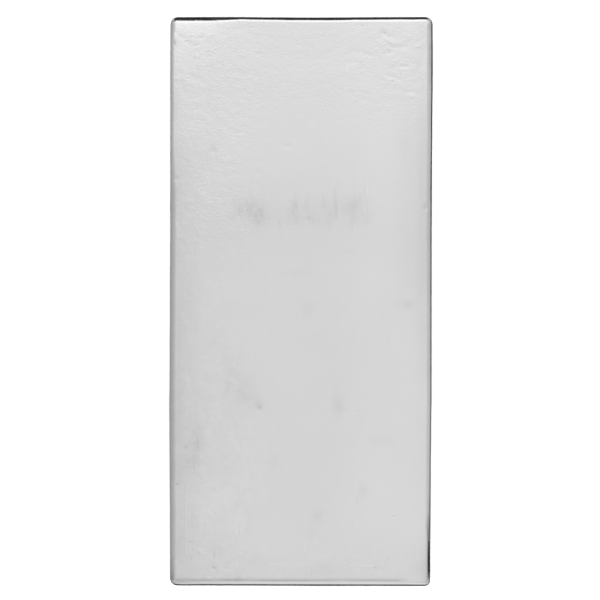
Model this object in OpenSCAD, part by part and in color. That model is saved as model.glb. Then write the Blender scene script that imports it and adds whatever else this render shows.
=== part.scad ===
// Cast metal ingot: a flat rectangular bullion bar of the one-kilogram silver
// size. It was cast in one piece in an open mould, so the side walls lean in a
// little towards the face that lay on the mould's floor. That face is up here
// and the poured face is down. All edges and corners are rounded.
//
// Frame: the origin is at the middle of the lower face, +Y along the length,
// +X across the width, +Z up through the thickness. Millimetres.

/* [Bar] */
// Length over the wider, lower face
bar_length = 118; // [60:0.5:250]
// Width over the wider, lower face
bar_width = 54.6; // [25:0.1:110]
// Thickness between the two flat faces
bar_thickness = 15; // [8:0.1:40]

/* [Cast form] */
// Draft: how far each side wall leans in over the whole thickness
side_draft = 0.3; // [0:0.05:2]
// Radius of the upright corners, at the lower face
corner_radius = 1.7; // [0.5:0.1:8]
// Radius along the edge of the upper face
top_edge_radius = 1.15; // [0.3:0.05:3]
// Radius along the edge of the lower face
bottom_edge_radius = 1.5; // [0.3:0.05:3]

/* [Finish] */
// Colour of the bare metal
metal_colour = "silver"; // [silver, gainsboro, gold, peru, darkgray]

/* [Hidden] */
$fn = 64;

// A wall leaning by side_draft over the thickness: its slope length, and its
// outward unit normal in the plane of the edge profile
wall_len = sqrt(bar_thickness * bar_thickness + side_draft * side_draft);
wall_nx = bar_thickness / wall_len;
wall_nz = side_draft / wall_len;

// How far the centre of each edge radius lies inside the lower outline
top_inset = (top_edge_radius * wall_len + (bar_thickness - top_edge_radius) * side_draft) / bar_thickness;
bottom_inset = (bottom_edge_radius * wall_len + bottom_edge_radius * side_draft) / bar_thickness;

// The upright corners are never tighter than the edge radii that run round
// them. Kept to a twentieth of a millimetre, so that the rim's pieces meet exactly
post_r = ceil(max(corner_radius, top_inset + 0.1, bottom_inset + 0.1) * 20 - 0.001) / 20;

// Middles of the upright corners
post_x = bar_width / 2 - post_r;
post_y = bar_length / 2 - post_r;

// Section of the bar's rim, outward from the line through the corner middles:
// a leaning wall, with a true arc rolling into each flat face
module rim_section() {
    top_x = post_r - top_inset;
    top_z = bar_thickness - top_edge_radius;
    bot_x = post_r - bottom_inset;
    bot_z = bottom_edge_radius;
    polygon([
        [0, 0],
        [bot_x, 0],
        [bot_x + bottom_edge_radius * wall_nx, bot_z + bottom_edge_radius * wall_nz],
        [top_x + top_edge_radius * wall_nx, top_z + top_edge_radius * wall_nz],
        [top_x, bar_thickness],
        [0, bar_thickness]
    ]);
    translate([bot_x, bot_z]) circle(r = bottom_edge_radius);
    translate([top_x, top_z]) circle(r = top_edge_radius);
}

// The rim's section with nothing reaching inward past the corner middles
module half_section() {
    intersection() {
        rim_section();
        square([post_r + 1, bar_thickness]);
    }
}

// One rounded upright corner, a quarter turn of the rim's section
module corner() {
    rotate_extrude(angle = 90) half_section();
}

// A straight run of the rim along +Y, facing +X, half on each side of Y = 0
module straight_rim(run) {
    rotate([90, 0, 0]) linear_extrude(height = run, center = true) half_section();
}

module ingot() {
    color(metal_colour) union() {
        // Body between the four corner middles
        translate([-post_x, -post_y, 0]) cube([2 * post_x, 2 * post_y, bar_thickness]);
        // Long sides
        for (s = [0, 180]) rotate([0, 0, s]) translate([post_x, 0, 0]) straight_rim(2 * post_y);
        // Short ends
        for (s = [90, 270]) rotate([0, 0, s]) translate([post_y, 0, 0]) straight_rim(2 * post_x);
        // Corners
        translate([post_x, post_y, 0]) corner();
        translate([-post_x, post_y, 0]) rotate([0, 0, 90]) corner();
        translate([-post_x, -post_y, 0]) rotate([0, 0, 180]) corner();
        translate([post_x, -post_y, 0]) rotate([0, 0, 270]) corner();
    }
}

ingot();
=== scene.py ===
"""Looks of the cast silver ingot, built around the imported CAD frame.

The bar lies on its wide poured face. The plain mould-side face is up, +Y is along its length.
All lengths below are in millimetres until the mesh is written, in metres, at the end.
"""

import math

import bpy
import numpy as np
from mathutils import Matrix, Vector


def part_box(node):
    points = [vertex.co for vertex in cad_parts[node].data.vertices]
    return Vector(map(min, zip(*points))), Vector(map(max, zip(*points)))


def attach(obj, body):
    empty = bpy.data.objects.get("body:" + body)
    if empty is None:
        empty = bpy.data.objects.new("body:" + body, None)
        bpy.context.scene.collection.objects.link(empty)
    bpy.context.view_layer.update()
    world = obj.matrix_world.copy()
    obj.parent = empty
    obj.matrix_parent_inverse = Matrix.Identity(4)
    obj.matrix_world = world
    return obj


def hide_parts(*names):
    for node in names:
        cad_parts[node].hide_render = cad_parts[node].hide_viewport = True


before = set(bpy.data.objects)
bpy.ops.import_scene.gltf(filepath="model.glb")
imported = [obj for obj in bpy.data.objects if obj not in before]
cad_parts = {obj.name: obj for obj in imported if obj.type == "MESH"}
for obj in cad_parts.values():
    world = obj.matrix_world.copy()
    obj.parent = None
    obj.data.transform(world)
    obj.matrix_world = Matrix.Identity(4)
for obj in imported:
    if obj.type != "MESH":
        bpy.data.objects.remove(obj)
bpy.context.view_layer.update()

# ---------------------------------------------------------------------------
# The bar's nominal form, as in the CAD part
# ---------------------------------------------------------------------------
lo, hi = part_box("ingot")
T = (hi.z - lo.z) * 1000.0
DRAFT = 0.3
R_BOTTOM = 1.5
POST_R = 1.7
# the widest line of the lower edge radius lies this far inside the sharp outline
LIP = R_BOTTOM * (math.hypot(T, DRAFT) + DRAFT) / T - R_BOTTOM
HALF_W = (hi.x - lo.x) * 500.0 + LIP
HALF_L = (hi.y - lo.y) * 500.0 + LIP
POST_X = HALF_W - POST_R
POST_Y = HALF_L - POST_R

# ---------------------------------------------------------------------------
# Noise and small helpers
# ---------------------------------------------------------------------------


def perlin(p, seed):
    """Smooth gradient noise, about -1 to 1, at points p in lattice units."""
    rng = np.random.RandomState(seed)
    perm = rng.permutation(256)
    perm = np.concatenate([perm, perm, perm])
    grad = rng.normal(size=(256, 3))
    grad /= np.linalg.norm(grad, axis=1, keepdims=True)
    cell = np.floor(p).astype(int)
    f = p - cell
    cell &= 255
    u = f * f * f * (f * (f * 6 - 15) + 10)
    total = 0.0
    for i in (0, 1):
        for j in (0, 1):
            for k in (0, 1):
                h = perm[perm[perm[cell[:, 0] + i] + cell[:, 1] + j] + cell[:, 2] + k]
                g = grad[h]
                d = f - np.array([i, j, k])
                w = (
                    (u[:, 0] if i else 1 - u[:, 0])
                    * (u[:, 1] if j else 1 - u[:, 1])
                    * (u[:, 2] if k else 1 - u[:, 2])
                )
                total = total + w * (g * d).sum(1)
    return total * 1.6


def fbm(p, seed, octaves=3, gain=0.5):
    total, amp = 0.0, 1.0
    for o in range(octaves):
        total = total + amp * perlin(p * 2.0**o + 17.3 * o, seed + o)
        amp *= gain
    return total


def smooth(a, b, x):
    t = np.clip((x - a) / (b - a), 0.0, 1.0)
    return t * t * (3 - 2 * t)


def blob(x, y, cx, cy, sx, sy, turn=0.0):
    """A soft round spot, turned by degrees."""
    c, s = math.cos(math.radians(turn)), math.sin(math.radians(turn))
    u, v = (x - cx) * c + (y - cy) * s, -(x - cx) * s + (y - cy) * c
    return np.exp(-0.5 * ((u / sx) ** 2 + (v / sy) ** 2))


def along(y, knots, values):
    """A smooth curve through a few given values."""
    k, v = np.array(knots, float), np.array(values, float)
    i = np.clip(np.searchsorted(k, y) - 1, 0, len(k) - 2)
    t = np.clip((y - k[i]) / (k[i + 1] - k[i]), 0, 1)
    t = t * t * (3 - 2 * t)
    return v[i] * (1 - t) + v[i + 1] * t


# ---------------------------------------------------------------------------
# The bar as cast: a grid on each face, and rings round the rim
# ---------------------------------------------------------------------------
ARC = 8
# closer together over the rippled skin at the upper left
gx = np.concatenate([np.linspace(-POST_X, -9, 54, endpoint=False), np.linspace(-9, POST_X, 83)])
gy = np.concatenate([np.linspace(-POST_Y, 18, 166, endpoint=False), np.linspace(18, POST_Y, 129)])
NX, NY = len(gx) - 1, len(gy) - 1

# the rim's stations, counter-clockwise from the lower end of the right side
st_x, st_y, st_a = [], [], []


def run(xs, ys, a):
    n = max(np.size(xs), np.size(ys))
    st_x.append(np.zeros(n) + xs)
    st_y.append(np.zeros(n) + ys)
    st_a.append(np.full(n, a))


def turn(x, y, a0):
    st_x.append(np.full(ARC, x))
    st_y.append(np.full(ARC, y))
    st_a.append(a0 + math.pi / 2 * np.arange(ARC) / ARC)


run(POST_X, gy[:-1], 0.0)
turn(POST_X, POST_Y, 0.0)
run(gx[:0:-1], POST_Y, math.pi / 2)
turn(-POST_X, POST_Y, math.pi / 2)
run(-POST_X, gy[:0:-1], math.pi)
turn(-POST_X, -POST_Y, math.pi)
run(gx[:-1], -POST_Y, 1.5 * math.pi)
turn(POST_X, -POST_Y, 1.5 * math.pi)
st_x, st_y, st_a = map(np.concatenate, (st_x, st_y, st_a))
N = len(st_x)
dir_x, dir_y = np.cos(st_a), np.sin(st_a)

# the upper edge was cast a little unevenly: its radius differs from place to place
rim_p = np.stack([st_x + dir_x, st_y + dir_y, np.zeros(N)], 1)
r_top = 1.12 + 0.05 * perlin(rim_p / 9.0, 11) + 0.03 * perlin(rim_p / 3.1, 12)
r_top += 0.14 * blob(st_x, st_y, -19.0, 57.5, 7.0, 3.0)
far_end = along(
    st_x,
    [-27, -19, -16, -12.6, -9.3, -6, -1, 6, 12, 20, 27],
    [0.0, 0.0, -0.14, -0.30, -0.17, -0.09, 0.0, 0.02, -0.07, -0.09, -0.14],
)
r_top += far_end * (st_y > POST_Y - 0.01)
r_top += 0.16 * smooth(-24.5, -21.0, st_x) * smooth(24.5, 21.0, st_x) * (st_y < -POST_Y + 0.01)
r_top -= 0.30 * smooth(24.0, 34.0, st_y) * smooth(-24.0, -25.5, st_x) * smooth(56.5, 54.0, st_y)
# lower down on the right it is rubbed to a narrow flat
worn = smooth(-46.0, -49.5, st_y) * smooth(POST_X - 0.2, POST_X, st_x) * (st_a < 1.0)
r_top -= 0.24 * worn
r_top += 0.13 * smooth(36.0, 45.0, st_y) * (st_x > POST_X - 0.01) * (st_a < 1.0)
r_top += 0.17 * smooth(27.0, 21.0, st_y) * smooth(-25.0, -25.5, st_x)
r_top = np.clip(r_top, 0.7, 1.38)

wall = math.hypot(T, DRAFT)
tilt = math.atan2(DRAFT, T)
top_inset = (r_top * wall + (T - r_top) * DRAFT) / T
bot_inset = R_BOTTOM * (wall + DRAFT) / T

rings = []  # radius from the corner middles, height, outward and upward parts of the normal
TOP_ARC, WALL, BOT_ARC = 14, 20, 8
for t in (0.3, 0.55, 0.8):
    rings.append(((POST_R - top_inset) * t, np.full(N, T), 0.0, 1.0))
flat_from, flat_to = math.radians(14.0), math.radians(66.0)
for i in range(TOP_ARC + 1):
    a = math.pi / 2 - (math.pi / 2 - tilt) * i / TOP_ARC
    lean = math.pi / 2 - a
    out_by, up_by = math.sin(lean), math.cos(lean)
    if flat_from < lean < flat_to:
        t = (lean - flat_from) / (flat_to - flat_from)
        out_by = out_by * (1 - worn) + worn * ((1 - t) * math.sin(flat_from) + t * math.sin(flat_to))
        up_by = up_by * (1 - worn) + worn * ((1 - t) * math.cos(flat_from) + t * math.cos(flat_to))
    rings.append(
        (
            POST_R - top_inset + r_top * out_by,
            T - r_top + r_top * up_by,
            math.cos(a),
            math.sin(a),
        )
    )
r0, z0 = rings[-1][0], rings[-1][1]
r1 = POST_R - bot_inset + R_BOTTOM * math.cos(tilt)
z1 = R_BOTTOM + R_BOTTOM * math.sin(tilt)
for i in range(1, WALL):
    t = i / WALL
    rings.append(
        (r0 + (r1 - r0) * t, z0 + (z1 - z0) * t, math.cos(tilt), math.sin(tilt))
    )
for i in range(BOT_ARC + 1):
    a = tilt - (math.pi / 2 + tilt) * i / BOT_ARC
    rings.append(
        (
            np.full(N, POST_R - bot_inset + R_BOTTOM * math.cos(a)),
            np.full(N, R_BOTTOM + R_BOTTOM * math.sin(a)),
            math.cos(a),
            math.sin(a),
        )
    )

verts, normals, kinds, rim_dark_paint_lists = [], [], [], []


def add(v, n, kind, rim_dark_paint=0.0):
    verts.append(v)
    normals.append(n)
    kinds.append(np.full(len(v), kind))
    rim_dark_paint_lists.append(np.zeros(len(v)) + rim_dark_paint)


X, Y = np.meshgrid(gx, gy, indexing="ij")
top_n = np.tile([0.0, 0.0, 1.0], (X.size, 1))
add(np.stack([X.ravel(), Y.ravel(), np.full(X.size, T)], 1), top_n, 0)
# painted dark reflection on the narrow flat rubbed on the edge at the lower right
painted_rim_dark = along(st_y, [-58, -56.6, -55.5, -52.5, -50.4, -48.6, -45.4, -42.6, -38.0], [0.0, 0.75, 1.0, 1.0, 0.88, 0.60, 0.32, 0.12, 0.0])
# and a trace of the same painted dark reflection near the upper right corner
painted_rim_dark = painted_rim_dark + along(st_y, [43.0, 45.6, 47.7, 49.5, 52.5, 54.0, 55.5, 57.0], [0.0, 0.09, 0.06, 0.15, 0.15, 0.05, 0.08, 0.14])
painted_rim_dark = painted_rim_dark * (st_x > POST_X - 0.01) * (st_a < 1.0)
# and painted dark reflection on the rim at the lower left corner
painted_rim_dark = painted_rim_dark + along(
    st_y + dir_y * POST_R, [-58.2, -57.4, -56.75, -56.0, -53.7, -51.5], [0.05, 0.30, 0.32, 0.18, 0.11, 0.0]
) * (st_x < 0.01 - POST_X) * np.clip(-dir_x, 0, 1) ** 2
for r, z, nr, nz in rings:
    lean = math.degrees(math.atan2(nr, nz))
    add(
        np.stack([st_x + dir_x * r, st_y + dir_y * r, z + np.zeros(N)], 1),
        np.stack([dir_x * nr, dir_y * nr, np.full(N, nz)], 1),
        1,
        painted_rim_dark * smooth(13.0, 31.0, lean) * smooth(89.5, 79.0, lean),
    )
cx, cy = gx[::2], gy[::2]
CX, CY = np.meshgrid(cx, cy, indexing="ij")
bot_n = np.tile([0.0, 0.0, -1.0], (CX.size, 1))
add(np.stack([CX.ravel(), CY.ravel(), np.zeros(CX.size)], 1), bot_n, 2)
P, NRM, KIND, RIM_DARK_PAINT_PER_POINT = (np.concatenate(a) for a in (verts, normals, kinds, rim_dark_paint_lists))

top_id = np.arange((NX + 1) * (NY + 1)).reshape(NX + 1, NY + 1)
ring_id = top_id.size + np.arange(len(rings) * N).reshape(len(rings), N)
bot_id = (
    ring_id.max() + 1 + np.arange((NX // 2 + 1) * (NY // 2 + 1)).reshape(NX // 2 + 1, NY // 2 + 1)
)


def border(ids, nx, ny):
    """A grid's edge, in the order of the rim's stations, corners repeated over each arc."""
    out = [ids[nx, j] for j in range(ny)] + [ids[nx, ny]] * ARC
    out += [ids[nx - i, ny] for i in range(nx)] + [ids[0, ny]] * ARC
    out += [ids[0, ny - j] for j in range(ny)] + [ids[0, 0]] * ARC
    out += [ids[i, 0] for i in range(nx)] + [ids[nx, 0]] * ARC
    return out


faces = []
for i in range(NX):
    for j in range(NY):
        faces.append((top_id[i, j], top_id[i + 1, j], top_id[i + 1, j + 1], top_id[i, j + 1]))
edge = border(top_id, NX, NY)
for k in range(N):
    m = (k + 1) % N
    a, b = edge[k], edge[m]
    c, d = ring_id[0, m], ring_id[0, k]
    faces.append((a, d, c) if a == b else (a, d, c, b))
for q in range(len(rings) - 1):
    for k in range(N):
        m = (k + 1) % N
        faces.append((ring_id[q, k], ring_id[q + 1, k], ring_id[q + 1, m], ring_id[q, m]))
last = ring_id[-1]
hx, hy = NX // 2, NY // 2
at = 0
for n, pick in (
    (NY, lambda j: bot_id[hx, j]),
    (None, bot_id[hx, hy]),
    (NX, lambda i: bot_id[hx - i, hy]),
    (None, bot_id[0, hy]),
    (NY, lambda j: bot_id[0, hy - j]),
    (None, bot_id[0, 0]),
    (NX, lambda i: bot_id[i, 0]),
    (None, bot_id[hx, 0]),
):
    if n is None:
        for k in range(at, at + ARC):
            faces.append((last[k], pick, last[(k + 1) % N]))
        at += ARC
        continue
    for c in range(n // 2):
        a0, a1, a2 = (last[(at + 2 * c + s) % N] for s in (0, 1, 2))
        b0, b1 = pick(c), pick(c + 1)
        faces.append((a0, b0, a1))
        faces.append((a1, b0, b1))
        faces.append((a1, b1, a2))
    at += n
for i in range(hx):
    for j in range(hy):
        faces.append((bot_id[i, j], bot_id[i, j + 1], bot_id[i + 1, j + 1], bot_id[i + 1, j]))

# ---------------------------------------------------------------------------
# Relief: what casting, cooling and handling left on it
# ---------------------------------------------------------------------------
x, y, z = P[:, 0].copy(), P[:, 1].copy(), P[:, 2].copy()
up = np.clip(NRM[:, 2], 0, 1)
upper = smooth(2.0, T - 1.5, z)

# how far in from each side, on the upper face
d_left, d_right = x + HALF_W - 0.3, HALF_W - 0.3 - x
d_top, d_bottom = HALF_L - 0.3 - y, y + HALF_L - 0.3


def roll(d, width, depth):
    return depth * np.clip(1 - d / width, 0, 1) ** 2


def fall(d, knots, slopes):
    """Depth of a face that falls away with these slopes at these distances from its edge."""
    fine = np.linspace(0, knots[-1], 500)
    s = np.interp(fine, knots, slopes)
    depth = np.concatenate([[0], np.cumsum((s[1:] + s[:-1]) / 2 * np.diff(fine))])
    return np.interp(d, fine, depth[-1] - depth)


# the face rolls gently down towards its edges, most along the lower left
sag = fall(d_left, [0, 3.2, 6.5, 13.0], [0.047, 0.047, 0.015, 0.0]) * (0.22 + 0.78 * smooth(36.0, 25.0, y))
sag += fall(d_right, [0, 1.8, 3.2, 7.0], [0.050, 0.040, 0.018, 0.0]) * (
    0.20 + 0.80 * smooth(-22.0, -2.0, y) * smooth(40.0, 28.0, y)
)
sag += roll(d_top, 5.0, 0.02) + roll(d_bottom, 4.0, 0.04)
sag += roll(d_top, 1.5, 0.10) * smooth(-15.8, -18.6, x)
# the upper left corner has sunk towards the end
sunk = along(x, [-27, -24, -19, -14, -10.5], [0.016, 0.016, 0.012, 0.005, 0.0])
sag += 0.5 * sunk * np.clip(y - 53.7, 0, 5.2) ** 2
gentle = along(x, [-27, -20, -12, -4], [0.0017, 0.0017, 0.0009, 0.0])
sag += 0.5 * gentle * (np.clip(y - 45.0, 0, 14.0) ** 2 - np.clip(y - 54.0, 0, 5.0) ** 2)
# broad, shallow waves from cooling
q = np.stack([x, y, z * 0.6], 1)
waves = 0.014 * fbm(q / [17.0, 26.0, 17.0], 21, 2) + 0.003 * perlin(q / [6.0, 7.0, 6.0], 24)

# where the skin is rippled: the upper end, most at its corners, and down the left side
peel = np.clip(
    1.00 * smooth(-4.0, -20.0, x) * smooth(2.0, 30.0, y)
    + 0.44 * smooth(30.0, 46.0, y)
    + 0.45 * blob(x, y, 20.0, 48.0, 7.0, 9.0)
    + 0.30 * smooth(-14.0, -25.0, x)
    + 0.22 * smooth(-6.0, -16.0, x)
    + 0.34 * smooth(-26.0, -40.0, y) * smooth(-8.0, -16.0, x)
    + 0.20 * smooth(-46.0, -56.0, y) * smooth(10.0, -10.0, x)
    + 0.06,
    0,
    1,
)
ripple = 0.0066 * perlin(q / [2.1, 1.5, 1.5], 31) + 0.0044 * perlin(q / [1.2, 0.95, 0.95], 32)
ripple = ripple * (0.55 + 0.9 * np.clip(0.5 + perlin(q / [7.0, 5.0, 5.0], 33), 0, 1))
face_relief = -sag + waves + peel * ripple


def dent(cx, cy, rx, ry, depth, turned=0.0):
    return -depth * blob(x, y, cx, cy, rx, ry, turned)


S = 0.206  # one step of the layout grid used for the marks below, in mm
MID_U, MID_V = 300.97, 301.5  # the bar's middle on that grid


def at_mark(u, v):
    return (u - MID_U) * S, (MID_V - v) * S


marks = 0.0
for u, v, rx, ry, depth, turned in (
    # upper left corner: short cold-lap ripples under the edge
    (177, 34, 0.30, 0.45, 0.014, 35),
    (191, 36.3, 0.55, 0.26, 0.005, -6),
    (200, 36.9, 0.55, 0.26, 0.005, 10),
    (183, 37.5, 0.35, 0.30, 0.010, 20),
    (187, 40.8, 0.45, 0.26, 0.005, -15),
    (196, 44.8, 0.45, 0.26, 0.006, 10),
    (173, 42.5, 0.30, 0.45, 0.030, 0),
    (184, 78.5, 1.2, 0.32, -0.004, 8),
    (196, 78.0, 0.8, 0.28, 0.008, 0),
    (189, 83.5, 0.7, 0.30, -0.008, 0),
    (173, 82.0, 0.5, 0.30, 0.007, 0),
    # upper right corner: a few laps running down to the right
    (384, 32.5, 0.32, 0.30, 0.020, 0),
    (387, 35.5, 0.8, 0.26, 0.015, -30),
    (391, 40.0, 1.9, 0.26, -0.008, -38),
    (381, 41.5, 1.3, 0.26, -0.006, -38),
    (388, 41.5, 1.2, 0.26, 0.008, -38),
    (399, 46.5, 1.5, 0.26, 0.012, -4),
    (390, 51.5, 0.4, 0.35, 0.014, 0),
    (404, 66.5, 1.0, 0.26, 0.013, -6),
    (405, 68.0, 1.1, 0.26, -0.007, -8),
    (390, 79.5, 1.5, 0.30, -0.010, -28),
    (393, 80.5, 0.35, 0.30, 0.014, 0),
    (392, 76.5, 0.8, 0.26, 0.010, -10),
    (411, 92.0, 0.9, 0.30, 0.009, -8),
    (411, 95.0, 0.7, 0.30, -0.006, -8),
    (418, 45.0, 0.45, 0.40, -0.012, 0),
    (418, 42.0, 0.40, 0.35, 0.010, 0),
    (369, 54.0, 0.7, 0.26, 0.010, 0),
    (369, 57.5, 0.9, 0.26, -0.003, 0),
    (351, 62.0, 0.9, 0.26, 0.006, 0),
    (347, 69.5, 0.30, 0.8, -0.005, 0),
    (362, 25.5, 0.35, 0.30, 0.010, 0),
    (258, 54.0, 0.5, 0.30, 0.010, 0),
    (271, 80.0, 0.30, 1.0, -0.006, 0),
    # small pits on the open face
    (259, 408, 0.40, 0.40, 0.020, 0),
    (240, 388, 0.9, 1.2, 0.006, 0),
    (287, 146, 0.32, 0.30, 0.014, 0),
    (221, 351, 0.35, 0.50, 0.012, 0),
    (234, 362, 0.35, 0.35, 0.010, 0),
    (212, 151, 0.50, 0.40, 0.012, 0),
    (346, 413, 0.32, 0.32, 0.008, 0),
    (318, 518, 0.8, 1.0, 0.005, 0),
    (363, 492, 0.6, 0.6, 0.005, 0),
    (409, 306, 1.0, 0.8, 0.006, 0),
    (381, 571, 0.7, 0.28, 0.012, -20),
    (175.5, 484.6, 0.35, 0.30, 0.022, 0),
    (174, 178, 0.40, 0.30, 0.040, 0),
    (427.5, 207, 0.35, 0.45, 0.040, 0),
    (214, 568, 0.6, 0.3, 0.014, -20),
    (225, 568, 0.4, 0.3, 0.012, -20),
    (237, 580.5, 0.45, 0.40, 0.040, 0),
):
    mx, my = at_mark(u, v)
    marks = marks + dent(mx, my, rx, ry, 2.0 * depth, turned)
rng = np.random.RandomState(5)
for _ in range(160):
    mx, my = rng.uniform(-26, 26), rng.uniform(-57, 57)
    weight = 0.25 + 0.75 * (mx < -8 and my > -6 or my > 40)
    marks = marks + dent(
        mx,
        my,
        rng.uniform(0.3, 0.8),
        rng.uniform(0.26, 0.4),
        rng.uniform(-0.008, 0.013) * weight,
        rng.uniform(-35, 35),
    )
face_relief = face_relief + marks

# the walls: faint level flow lines and a soft cast skin
wall_q = np.stack([x / 9.0, y / 9.0, z / 1.9], 1)
wall_relief = 0.012 * fbm(q / 9.0, 41, 2)
wall_relief += 0.030 * (1 - up) * perlin(wall_q, 44) * (0.5 + np.clip(0.5 + perlin(q / [8.0, 8.0, 5.0], 46), 0, 1))
wall_relief += 0.010 * (1 - up) * perlin(q / [2.6, 2.6, 1.5], 45)
# they belly out by a hair between the two edges
wall_relief += 0.055 * np.clip(1 - ((z - 7.6) / 6.4) ** 2, 0, 1)
# the poured face under the bar: plain, with shallow cooling rings
under = 0.03 * (1 + perlin(q / [12.0, 12.0, 12.0], 51)) + 0.01 * (1 + perlin(q / 3.0, 52))

# the sides bow a very little, and the bar narrows by a hair towards its lower end
bow_left = along(y, [-59, -45, -36, -28, -20, -10, 2, 20, 45, 59], [0.15, 0.16, 0.23, 0.27, 0.27, 0.22, 0.16, 0.09, 0.06, 0.04])
bow_right = along(
    y,
    [-59, -53, -42, -35, -27, -18, 0, 21, 37, 45, 57],
    [-0.25, -0.25, -0.18, -0.12, -0.05, 0.05, 0.06, 0.09, 0.20, 0.29, 0.30],
)
side = np.clip(np.abs(x) - (HALF_W - 6.0), 0, 6.0) / 6.0
bow = np.where(x > 0, bow_right, bow_left)
bow = np.where(bow > 0, bow * upper, bow) * side
x = x + np.where(x > 0, bow, -bow)
end = np.clip(np.abs(y) - (HALF_L - 6.0), 0, 6.0) / 6.0
dip = np.where(
    y > 0,
    0.105 * blob(x, 0, 1.5, 0, 7.8, 1.0)
    - 0.038
    + along(x, [-27, -20, -16, -12, -10, -4, 0, 4, 8, 13, 17, 21, 26], [-0.022, -0.026, -0.014, -0.010, 0.008, 0.016, 0.004, 0.010, 0.030, 0.024, 0.0, 0.003, -0.012]),
    -0.046 + 0.045 * smooth(22.0, -26.0, x) + 0.036 * smooth(2.0, -16.0, x),
)
y = y - np.sign(y) * dip * end * upper
sides = NRM[:, :2]
mid = 1 - np.abs(NRM[:, 2]) ** 2
x = x + sides[:, 0] * wall_relief * mid
y = y + sides[:, 1] * wall_relief * mid
z = z + face_relief * upper * np.where(KIND == 2, 0, 1) * np.where(NRM[:, 2] > -0.1, 1, 0)
z = z + np.where(NRM[:, 2] < -0.5, under * smooth(0.5, 1.0, -NRM[:, 2]), 0)

# the lower right corner is tighter than the other three
tight = 0.19 * (2 * dir_x * dir_y) ** 2 * (dir_x > 0) * (dir_y < 0)
for k, (r, z_at, nr, nz) in enumerate(rings):
    grow = tight * r / POST_R
    x[ring_id[k]] += dir_x * grow
    y[ring_id[k]] += dir_y * grow

# nothing stands proud of the CAD part's box, and the bar keeps its full size
x = x / max(1e-9, np.abs(x).max()) * (hi.x - lo.x) * 500.0
y = y / max(1e-9, np.abs(y).max()) * (hi.y - lo.y) * 500.0
z = z - z.min()
z = z / z.max() * T
co = np.stack([x + (hi.x + lo.x) * 500.0, y + (hi.y + lo.y) * 500.0, z + lo.z * 1000.0], 1)

mesh = bpy.data.meshes.new("cast_bar")
mesh.from_pydata((co / 1000.0).tolist(), [], [tuple(int(i) for i in f) for f in faces])
mesh.update()
mesh.polygons.foreach_set("use_smooth", [True] * len(mesh.polygons))

# ---------------------------------------------------------------------------
# Flat pattern for baking: upper face, lower face and four walls, side by side
# ---------------------------------------------------------------------------
ring_r = np.array([np.mean(r) for r, z_at, nr, nz in rings])
ring_z = np.array([np.mean(z_at) for r, z_at, nr, nz in rings])
ring_s = np.concatenate([[0], np.cumsum(np.hypot(np.diff(ring_r), np.diff(ring_z)))])
SPLIT_TOP = 3 + TOP_ARC // 2
SPLIT_BOT = len(rings) - 1 - BOT_ARC // 2
GAP = 1.5

flat_top = np.zeros((len(P), 2))
flat_bot = np.zeros((len(P), 2))
flat_top[top_id.ravel()] = np.stack([X.ravel(), Y.ravel()], 1)
flat_bot[bot_id.ravel()] = np.stack([-CX.ravel(), CY.ravel()], 1)
for k in range(len(rings)):
    s_top = ring_r[0] + ring_s[k]
    s_bot = ring_r[-1] + ring_s[-1] - ring_s[k]
    flat_top[ring_id[k]] = np.stack([st_x + dir_x * s_top, st_y + dir_y * s_top], 1)
    flat_bot[ring_id[k]] = np.stack([-(st_x + dir_x * s_bot), st_y + dir_y * s_bot], 1)

out_x, out_y = st_x + dir_x * POST_R, st_y + dir_y * POST_R
perimeter = np.concatenate(
    [[0], np.cumsum(np.hypot(np.roll(out_x, -1) - out_x, np.roll(out_y, -1) - out_y))]
)
mid = [NY + ARC // 2, NY + ARC + NX + ARC // 2, 2 * NY + 2 * ARC + NX + ARC // 2, N - ARC // 2]
strip = np.searchsorted(mid, np.arange(N), side="right") % 4

w_top = POST_X + ring_r[0] + ring_s[SPLIT_TOP]
h_top = POST_Y + ring_r[0] + ring_s[SPLIT_TOP]
w_bot = POST_X + ring_r[-1] + ring_s[-1] - ring_s[SPLIT_BOT]
h_bot = POST_Y + ring_r[-1] + ring_s[-1] - ring_s[SPLIT_BOT]
wall_h = ring_s[SPLIT_BOT] - ring_s[SPLIT_TOP]
flat_top += [GAP + w_top, GAP + h_top]
flat_bot += [2 * GAP + 2 * w_top + w_bot, GAP + h_bot]
strip_x = 3 * GAP + 2 * w_top + 2 * w_bot
strip_y = 2 * GAP + 2 * max(h_top, h_bot)
sheet = strip_x + 2 * wall_h + 2 * GAP


def wall_uv(k_face, k, q):
    """Flat place of station k on ring q, for the face that starts at station k_face."""
    p, c, s = perimeter[k], ring_s[q] - ring_s[SPLIT_TOP], strip[k_face]
    if s == 0:
        p = p - perimeter[mid[3]] + (perimeter[N] if k_face < mid[0] else 0)
        return strip_x + c, GAP + p
    if s == 2:
        return strip_x + wall_h + GAP + c, GAP + p - perimeter[mid[1]]
    if s == 1:
        return GAP + p - perimeter[mid[0]], strip_y + wall_h - c
    return 2 * GAP + 2 * w_top + p - perimeter[mid[2]], strip_y + wall_h - c


first_band = NX * NY + N
uv = []
for number, f in enumerate(faces):
    q, k = divmod(number - first_band, N)
    if number < first_band or 0 <= q < SPLIT_TOP:
        uv.extend(flat_top[v] for v in f)
    elif q < SPLIT_BOT:
        uv.extend(wall_uv(k, kk, qq) for kk, qq in ((k, q), (k, q + 1), (k + 1, q + 1), (k + 1, q)))
    else:
        uv.extend(flat_bot[v] for v in f)
layer = mesh.uv_layers.new(name="OFBake")
layer.data.foreach_set("uv", (np.array(uv) / sheet).astype(np.float32).ravel())

# ---------------------------------------------------------------------------
# Masks that the finish reads
# ---------------------------------------------------------------------------


def spots(rows):
    """Soft spots at layout places, with sizes in layout steps."""
    out = np.zeros(len(x))
    for u, v, su, sv, much in rows:
        mx, my = at_mark(u, v)
        out += much * blob(x, y, mx, my, max(su * S, 0.26), max(sv * S, 0.26))
    return out


face = smooth(0.5, 0.9, NRM[:, 2])
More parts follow.
